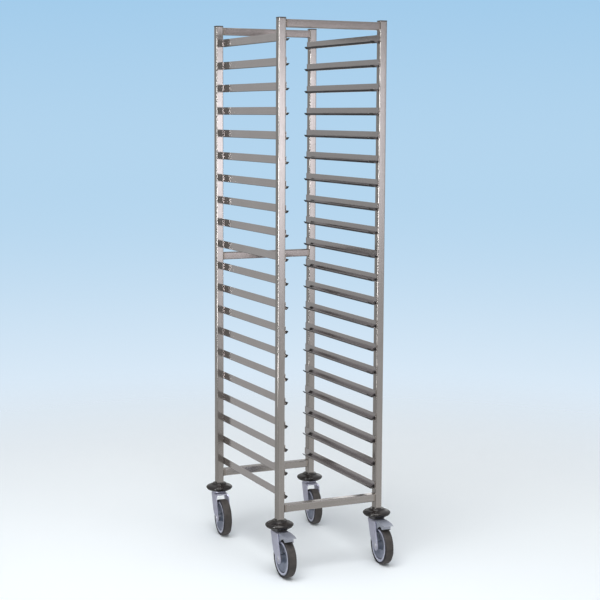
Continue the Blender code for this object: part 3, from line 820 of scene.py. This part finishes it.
def fork_path():
    """Half of the U, leg end to crown centre: (outer x, outer z, inner x, inner z, rear, front)."""
    stations = []
    low = WHEEL_RADIUS - LEG_END_RADIUS
    inner_x = LEG_OUTER - LEG_SHEET
    heights = [low + LEG_END_RADIUS * (1.0 - cos(radians(a))) for a in (7, 18, 30, 42, 54, 66, 78, 90)]
    heights += [0.0660, 0.0700, 0.0750, 0.0800, 0.0850, 0.0920, 0.0990, 0.1060, 0.1130, 0.1200, 0.1260]
    for height in heights:
        rear, front = leg_span(height)
        stations.append((LEG_OUTER, height, inner_x, height, rear, front))
    outer_bend = 0.0080
    inner_bend = 0.0070
    for k in range(8):
        turn = (pi / 2.0) * k / 7.0
        out_x = LEG_OUTER - outer_bend + outer_bend * cos(turn)
        out_z = CROWN_TOP - outer_bend + outer_bend * sin(turn)
        in_x = inner_x - inner_bend + inner_bend * cos(turn)
        in_z = CROWN_UNDERSIDE - inner_bend + inner_bend * sin(turn)
        rear, front = leg_span(out_z)
        rear = min(rear, REAR_EDGE[0][1] - 0.0036 * k / 7.0)
        stations.append((out_x, out_z, in_x, in_z, rear, front))
    for x in (0.0120, 0.0080, 0.0040, 0.0):
        rear = -sqrt(0.0260 ** 2 - x * x)
        front = 0.0350 + 0.0010 * (1.0 - x / 0.0120)
        stations.append((x, CROWN_TOP, x, CROWN_UNDERSIDE, rear, front))
    return stations


def hole_cutter(label, radius, centre, axis, length, place):
    """Round bar along X or Z that drills a hole."""
    rings = []
    for end in (-length / 2.0, length / 2.0):
        circle = [(radius * cos(2.0 * pi * i / 32), radius * sin(2.0 * pi * i / 32)) for i in range(32)]
        rings.append([(end, a, b) if axis == "X" else (a, b, end) for a, b in circle])
    shell = stack(rings, False)
    mesh = bpy.data.meshes.new(label)
    at = place @ Matrix.Translation(centre)
    mesh.from_pydata([tuple(v) for v in moved(shell[0], at)], [], shell[1])
    return place_object(label, mesh)


def apply_modifiers(piece):
    """Bakes the modifiers into the mesh, so that helper shapes can be removed."""
    graph = bpy.context.evaluated_depsgraph_get()
    baked = bpy.data.meshes.new_from_object(piece.evaluated_get(graph))
    piece.modifiers.clear()
    piece.data = baked


def build_fork(tag, place, body):
    """Pressed fork in one bent sheet, drilled for axle and king pin."""
    half = fork_path()
    path = [(-ox, oz, -ix, iz, rear, front) for ox, oz, ix, iz, rear, front in half]
    path += list(reversed(half[:-1]))
    rings = []
    for out_x, out_z, in_x, in_z, rear, front in path:
        outside = [(out_x, -rear, out_z), (out_x, -front, out_z)]
        rings.append(outside + [(in_x, -front, in_z), (in_x, -rear, in_z)])
    piece = add_piece("fork_shell_" + tag, stack(rings, False), place, FORK_ZINC, body, ["fork_" + tag],
                      180.0)
    cutters = [
        hole_cutter("axle_hole", 0.0043, (0.0, -TRAIL, WHEEL_RADIUS), "X", 0.080, place),
        hole_cutter("pin_hole", 0.0064, (0.0, 0.0, CROWN_TOP), "Z", 0.020, place),
    ]
    for cutter in cutters:
        cut = piece.modifiers.new(cutter.name, "BOOLEAN")
        cut.operation = "DIFFERENCE"
        cut.solver = "EXACT"
        cut.object = cutter
    apply_modifiers(piece)
    for cutter in cutters:
        bpy.data.objects.remove(cutter, do_unlink=True)
    for polygon in piece.data.polygons:
        polygon.use_smooth = True
    soften(piece, 0.0008, 38.0)
    flatten_shading(piece)


# ---------------------------------------------------------------- wheel
def about_axle(place):
    """Frame in the middle of the wheel, with X along the axle."""
    return place @ Matrix.Translation((0.0, -TRAIL, WHEEL_RADIUS))


def paint_faces(piece, centre, finishes, choose):
    """Gives each face a finish, by its distance along and from the axle."""
    for finish in finishes:
        piece.data.materials.append(finish)
    back = centre.inverted()
    for polygon in piece.data.polygons:
        spot = back @ polygon.center
        polygon.material_index = choose(abs(spot.x), sqrt(spot.y * spot.y + spot.z * spot.z))


def build_axle(tag, place, body):
    """Through bolt: washers, domed head, shank with spacers beside the hub, chamfered nut."""
    spacer_out = LEG_OUTER - LEG_SHEET - 0.0003
    spacer_in = HUB_HALF + 0.0003
    seat = LEG_OUTER + 0.0002
    head = [(-seat - 0.0029, 0.0020), (-seat - 0.0027, 0.0040), (-seat - 0.0020, 0.0056),
            (-seat - 0.0010, 0.0063), (-seat - 0.0008, 0.0063)]
    half = [(spacer_in, 0.0040), (spacer_in, 0.0085), (spacer_out, 0.0085), (spacer_out, 0.0040),
            (seat, 0.0040), (seat, 0.0095), (seat + 0.0005, 0.0095), (seat + 0.0008, 0.0092)]
    nut = [(seat + 0.0008, 0.0066, "hexagon"), (seat + 0.0034, 0.0066, "hexagon"), (seat + 0.0040, 0.0058),
           (seat + 0.0040, 0.0040), (seat + 0.0046, 0.0036), (seat + 0.0048, 0.0020)]
    rings = []
    for x, size, *shape in head + [(-x, radius) for x, radius in reversed(half)] + half + nut:
        ring = []
        for i in range(48):
            angle = 2.0 * pi * i / 48
            radius = size
            if shape:
                sector = (angle % (pi / 3.0)) - pi / 6.0
                radius = min(size * cos(pi / 6.0) / cos(sector), size)
            ring.append((x, radius * sin(angle), radius * cos(angle)))
        rings.append(ring)
    add_piece("axle_bolt_" + tag, stack(rings, False), about_axle(place), AXLE_ZINC, body,
              ["axle_" + tag], 30.0)


def build_rim(tag, place, body):
    """Moulded wheel: hub, dished web and a grooved outer ring."""
    side = [
        (HUB_HALF - 0.0014, 0.0044), (HUB_HALF - 0.0014, 0.0082), (HUB_HALF - 0.0002, 0.0086),
        (HUB_HALF, 0.0090), (HUB_HALF, 0.0120), (HUB_HALF - 0.0004, 0.0127), (HUB_HALF - 0.0012, 0.0130),
        (0.0090, 0.0138), (0.0040, 0.0144), (0.0026, 0.0156), (0.0022, 0.0180), (0.0022, 0.0240),
        (0.0026, 0.0290), (0.0036, 0.0330), (0.0056, 0.0368), (0.0082, 0.0402), (0.0098, 0.0424),
        (0.0101, 0.0432), (0.0096, 0.0437), (0.0052, 0.0440), (0.0046, 0.0446), (0.0046, 0.0462),
        (0.0052, 0.0468), (0.0122, 0.0474), (0.0133, 0.0479), (0.0136, 0.0488), (0.0136, 0.0522),
        (0.0134, 0.0531), (0.0128, 0.0538), (0.0125, 0.0547),
    ]
    profile = [(-x, radius) for x, radius in side] + [(x, radius) for x, radius in reversed(side)]
    shell = lathe_x(profile, 96, True)
    centre = about_axle(place)
    piece = add_piece("wheel_rim_" + tag, shell, centre, RIM_LIGHT, body, ["rim_" + tag],
                      40.0)
    # the dish takes the darker plastic: its own blue-grey tone and painted shade of the recess
    paint_faces(piece, centre, (RIM_DISH_AND_SHADE, RIM_HUB),
                lambda along, radius: (radius < RIM_DISH_RADIUS) + (radius < RIM_HUB_RADIUS))


def build_tyre(tag, place, body):
    """Flat tread with round shoulders and a bead against the rim."""
    half = [
        (0.0125, 0.0550), (0.0136, 0.0552), (0.0143, 0.0558), (0.0146, 0.0565), (0.0143, 0.0569),
        (0.0143, 0.0572), (0.0149, 0.0577), (0.0150, 0.0586), (0.0147, 0.0598), (0.0140, 0.0609),
        (0.0129, 0.0617), (0.0116, 0.0622), (0.0102, 0.06245), (0.0085, 0.0625), (0.0040, 0.0625),
    ]
    profile = [(-x, radius) for x, radius in half] + [(x, radius) for x, radius in reversed(half)]
    shell = lathe_x(profile, 120, True)
    centre = about_axle(place)
    piece = add_piece("wheel_tyre_" + tag, shell, centre, TYRE_RUBBER, body, ["tyre_" + tag],
                      50.0)
    paint_faces(piece, centre, (TYRE_WALL,), lambda along, radius: int(along > TREAD_HALF))


# ---------------------------------------------------------------- brake pedal
def slab(half, y, low, high):
    """Rectangle across the wheel at one distance forward."""
    return [(-half, y, low), (half, y, low), (half, y, high), (-half, y, high)]


def build_pedal(tag, place, body):
    """Pressed hood over the front of the tyre, with turned-down skirts, and its rubber shoe."""
    # forward, top height, skirt bottom height, half width
    sections = curve_through([
        (0.0396, 0.1446, 0.1154, PEDAL_HALF_WIDTH - 0.0010),
        (0.0450, 0.1445, 0.1170, PEDAL_HALF_WIDTH - 0.0007),
        (0.0540, 0.1441, 0.1235, PEDAL_HALF_WIDTH - 0.0003),
        (0.0660, 0.1434, 0.1300, PEDAL_HALF_WIDTH - 0.0001),
        (0.0800, 0.1422, 0.1345, PEDAL_HALF_WIDTH - 0.0001),
        (0.0870, 0.1412, 0.1374, PEDAL_HALF_WIDTH - 0.0010),
        (0.0990, 0.1396, 0.1372, PEDAL_HALF_WIDTH - 0.0030),
    ], 4)
    inner_sections = [
        (0.0280, 0.1360, 0.1160, PEDAL_HALF_WIDTH - 0.0010),
        (0.0378, 0.1360, 0.1152, PEDAL_HALF_WIDTH - 0.0010),
    ]
    corner = 0.0030
    rings = []
    for out, top, low, wide in inner_sections + sections:
        radius = min(corner, max(top - low - 0.0002, 0.0004))
        outer = [(-wide, low)]
        for k in range(6):
            turn = (pi / 2.0) * k / 5.0
            outer.append((-wide + radius * (1.0 - cos(turn)), top - radius + radius * sin(turn)))
        outer += [(-x, z) for x, z in reversed(outer)]
        small = max(radius - PEDAL_PLATE, 0.0002)
        under = top - PEDAL_PLATE
        inner = [(-wide + PEDAL_PLATE, min(low, under - 0.0002))]
        for k in range(6):
            turn = (pi / 2.0) * k / 5.0
            z = max(under - small + small * sin(turn), low + 0.00005 * (k + 1))
            inner.append((-wide + PEDAL_PLATE + small * (1.0 - cos(turn)), min(z, under)))
        inner += [(-x, z) for x, z in reversed(inner)]
        ring = [(x, -out, z) for x, z in outer] + [(x, -out, z) for x, z in reversed(inner)]
        rings.append(ring)
    add_piece("brake_hood_" + tag, stack(rings, False), place, PEDAL_ZINC, body, ["brake_pedal_" + tag],
              40.0, 0.0, True)
    slices = ((0.0532, 0.1425, 0.1292), (0.0600, 0.1422, 0.1281), (0.0670, 0.1416, 0.1262),
              (0.0740, 0.1410, 0.1234), (0.0798, 0.1404, 0.1202))
    block = []
    shoe = []
    for out, top, low in slices:
        foot = low + SHOE_PAD
        block.append(slab(SHOE_HALF, -out, foot, top))
        shoe.append(slab(SHOE_HALF - 0.0006, -out, low, foot + 0.0004))
    add_piece("shoe_holder_" + tag, stack(block, False), place, PEDAL_ZINC, body, ["brake_pedal_" + tag],
              40.0, 0.0012, True)
    add_piece("brake_shoe_" + tag, stack(shoe, False), place, SHOE_RUBBER, body, ["brake_pedal_" + tag],
              40.0, 0.0006, True)
    rivets = []
    for sign in (-1.0, 1.0):
        profile = [(0.0, 0.0030), (sign * 0.0004, 0.0030), (sign * 0.0009, 0.0022), (sign * 0.0011, 0.0008)]
        head = lathe_x(profile, 24, False)
        spot = Matrix.Translation((sign * LEG_OUTER, -PEDAL_PIN_FORWARD, PEDAL_PIN_HEIGHT))
        rivets.append((moved(head[0], place @ spot), head[1]))
    add_piece("pedal_rivets_" + tag, join(rivets), HERE, AXLE_ZINC, body, ["brake_pedal_" + tag],
              40.0)


# ---------------------------------------------------------------- assembly
for tag in ("fl", "fr", "bl", "br"):
    build_upright(tag)
    build_cap(tag)
for node in ("front_top", "back_top", "back_mid", "front_bottom", "back_bottom"):
    # bottom rails take the lit steel; top and middle rails take the copy with painted shade
    build_rail("rail_" + node, RAIL_STEEL if node.endswith("bottom") else SHADED_RAIL_STEEL)
    build_rail_welds("rail_" + node)

for side in ("l", "r"):
    runner_bases = []
    for level in range(1, 21):
        first = level if level % 2 == 1 else level - 1
        runner_bases.append(build_runner(side, level, "runners_%s_%02d_%02d" % (side, first, first + 1)))
    for end in ("f", "b"):
        build_web_welds(end + side, runner_bases)

joints = {joint["name"]: joint for joint in frame["joints"]}
corner_names = {"fl": "front_left", "fr": "front_right", "bl": "back_left", "br": "back_right"}
for tag, corner_name in corner_names.items():
    spin = joints["wheel_spin_" + corner_name]
    swivel = joints["swivel_" + corner_name]
    turn = atan2(spin["axis"][1], spin["axis"][0])
    fixed = Matrix.Translation((swivel["pos_m"][0], swivel["pos_m"][1], 0.0))
    turned = fixed @ Matrix.Rotation(turn, 4, "Z")
    braked = ("pedal_" + corner_name) in frame["bodies"]
    build_bumper(tag, fixed)
    build_head(tag, fixed, braked)
    build_fork(tag, turned, "fork_" + corner_name)
    build_axle(tag, turned, "fork_" + corner_name)
    build_rim(tag, turned, "wheel_" + corner_name)
    build_tyre(tag, turned, "wheel_" + corner_name)
    if braked:
        build_pedal(tag, turned, "pedal_" + corner_name)


# ---------------------------------------------------------------- floor, light and camera
FLOOR_HALF = 6.0
FLOOR_SOLID = 0.9  # distance from the middle where the fade begins
FLOOR_GONE = 3.6  # and where the floor has gone
WHITE = (1.0, 1.0, 1.0)
# name, place, what it points at, width, height, power, colour, what it lights
LAMPS = (
    ("overhead", (-0.7, -1.0, 3.4), (0.0, 0.0, 0.8), 2.4, 2.4, 74.0, (1.0, 0.99, 0.98), "all"),
    ("strip_left", (-3.0, -1.35, 1.32), (0.0, 0.0, 1.32), 0.6, 1.26, 46.0, WHITE, "gloss"),
    ("strip_left_low", (-3.0, -1.35, 0.35), (0.0, 0.0, 0.35), 0.6, 0.66, 19.0, WHITE, "gloss"),
    ("back_right", (2.1, 2.9, 1.15), (0.15, -0.23, 0.23), 1.2, 0.8, 2.4, WHITE, "gloss"),
    ("low_left", (-2.2, -2.0, 0.55), (0.0, 0.0, 0.15), 0.4, 0.3, 4.0, WHITE, "matt"),
)
CAMERA_PLACE = (-2.0434, -4.3870, 1.4753)
CAMERA_YAW = radians(-24.959)
CAMERA_PITCH = radians(6.629)
CAMERA_ROLL = radians(0.281)
CAMERA_LENS = 86.81
CAMERA_SHIFT_Y = -0.028


def build_floor():
    """Plain pale floor that fades into the backdrop a few metres from the rack."""
    mesh = bpy.data.meshes.new("floor")
    corners = ((-1.0, -1.0), (1.0, -1.0), (1.0, 1.0), (-1.0, 1.0))
    mesh.from_pydata([(FLOOR_HALF * x, FLOOR_HALF * y, 0.0) for x, y in corners], [], [(0, 1, 2, 3)])
    g = Graph("floor_pale", 0.0, 0.6)
    g.shader.inputs["Specular IOR Level"].default_value = 0.0
    cloud = g.noise(1.3, 3.0)
    g.finish(g.mix(cloud, (0.885, 0.945, 0.99), (0.905, 0.96, 0.995)), g.fit(cloud, 0.3, 0.7, 0.5, 0.6))
    radius = g.add("ShaderNodeVectorMath", operation="LENGTH")
    g.put(g.place, radius.inputs[0])
    solid = g.fit(radius.outputs["Value"], FLOOR_SOLID, FLOOR_GONE, 1.0, 0.0, "SMOOTHSTEP")
    g.put(solid, g.shader.inputs["Alpha"])
    mesh.materials.append(g.material)
    floor = place_object("floor", mesh)
    floor.visible_glossy = False


def softbox(name, location, target, width, height, power, colour, lights):
    """Area lamp for all surfaces, for gloss only, or for all but gloss."""
    light = bpy.data.lights.new(name, "AREA")
    light.shape = "RECTANGLE"
    light.size = width
    light.size_y = height
    light.energy = power
    light.color = colour
    lamp = place_object(name, light)
    lamp.location = location
    lamp.rotation_euler = (Vector(target) - Vector(location)).to_track_quat("-Z", "Y").to_euler()
    lamp.visible_camera = False
    lamp.visible_diffuse = lights != "gloss"
    lamp.visible_glossy = lights != "matt"


def build_world():
    """Plain pale backdrop, and soft grey studio walls for the light that reaches the object."""
    world = bpy.data.worlds.new("studio")
    world.use_nodes = True
    bpy.context.scene.world = world
    n = Nodes(world.node_tree)
    background = n.tree.nodes["Background"]
    background.inputs["Strength"].default_value = 1.0
    direction = n.add("ShaderNodeTexCoord").outputs["Generated"]
    split = n.add("ShaderNodeSeparateXYZ")
    n.put(direction, split.inputs[0])
    height = split.outputs[2]

    def ramp(value, low, high, out_low=0.0, out_high=1.0):
        return n.fit(value, low, high, out_low, out_high, "SMOOTHSTEP")

    def toward(heading):
        node = n.add("ShaderNodeVectorMath", operation="DOT_PRODUCT")
        n.put(direction, node.inputs[0])
        node.inputs[1].default_value = heading
        return node.outputs["Value"]

    seen = n.mix(ramp(height, -0.26, -0.04), (0.80, 0.88, 0.96), (0.46, 0.67, 0.86))
    seen = n.mix(ramp(height, -0.05, 0.16), seen, (0.32, 0.57, 0.82))
    walls = n.mix(ramp(height, -0.30, 0.00), (0.70, 0.70, 0.69), (0.42, 0.42, 0.425))
    walls = n.mix(ramp(height, 0.08, 0.40), walls, (0.66, 0.66, 0.665))
    front_left = ramp(toward((-0.42, -0.91, 0.0)), 0.45, 0.95)
    walls = n.mix(front_left, walls, (0.29, 0.285, 0.27))
    back_left = ramp(toward((-0.40, 0.92, 0.0)), 0.55, 0.95)
    walls = n.mix(back_left, walls, (0.41, 0.41, 0.40))
    back_low = ramp(toward((0.20, 0.89, -0.41)), 0.86, 0.97)
    walls = n.mix(back_low, walls, (0.15, 0.15, 0.15))
    panel = n.math("MULTIPLY", ramp(height, -0.175, -0.025), ramp(height, 0.034, 0.062, 1.0, 0.0))
    panel = n.math("MULTIPLY", panel, ramp(toward((0.242, -0.970, 0.0)), 0.950, 0.995))
    walls = n.mix(panel, walls, (2.42, 2.34, 2.46))
    camera_ray = n.add("ShaderNodeLightPath").outputs["Is Camera Ray"]
    n.put(n.mix(camera_ray, walls, seen), background.inputs["Color"])


def build_light():
    """World, one large box above, strips for the bright tube corners, and two small helpers."""
    build_world()
    for lamp in LAMPS:
        softbox(*lamp)


def build_camera():
    """Looks along yaw and pitch, then rolls a little about its own axis."""
    yaw = CAMERA_YAW
    pitch = CAMERA_PITCH
    roll = CAMERA_ROLL
    forward = -Vector((sin(yaw) * cos(pitch), -cos(yaw) * cos(pitch), sin(pitch)))
    right = Vector((cos(yaw), sin(yaw), 0.0))
    up = right.cross(forward)
    tilted_right = cos(roll) * right + sin(roll) * up
    tilted_up = -sin(roll) * right + cos(roll) * up
    data = bpy.data.cameras.new("camera")
    data.lens = CAMERA_LENS
    data.sensor_width = 36.0
    data.shift_y = CAMERA_SHIFT_Y
    camera = place_object("camera", data)
    turn = Matrix((tilted_right, tilted_up, -forward)).transposed().to_4x4()
    camera.matrix_world = Matrix.Translation(CAMERA_PLACE) @ turn
    bpy.context.scene.camera = camera


build_floor()
build_light()
build_camera()
bpy.context.scene.view_settings.view_transform = "Standard"
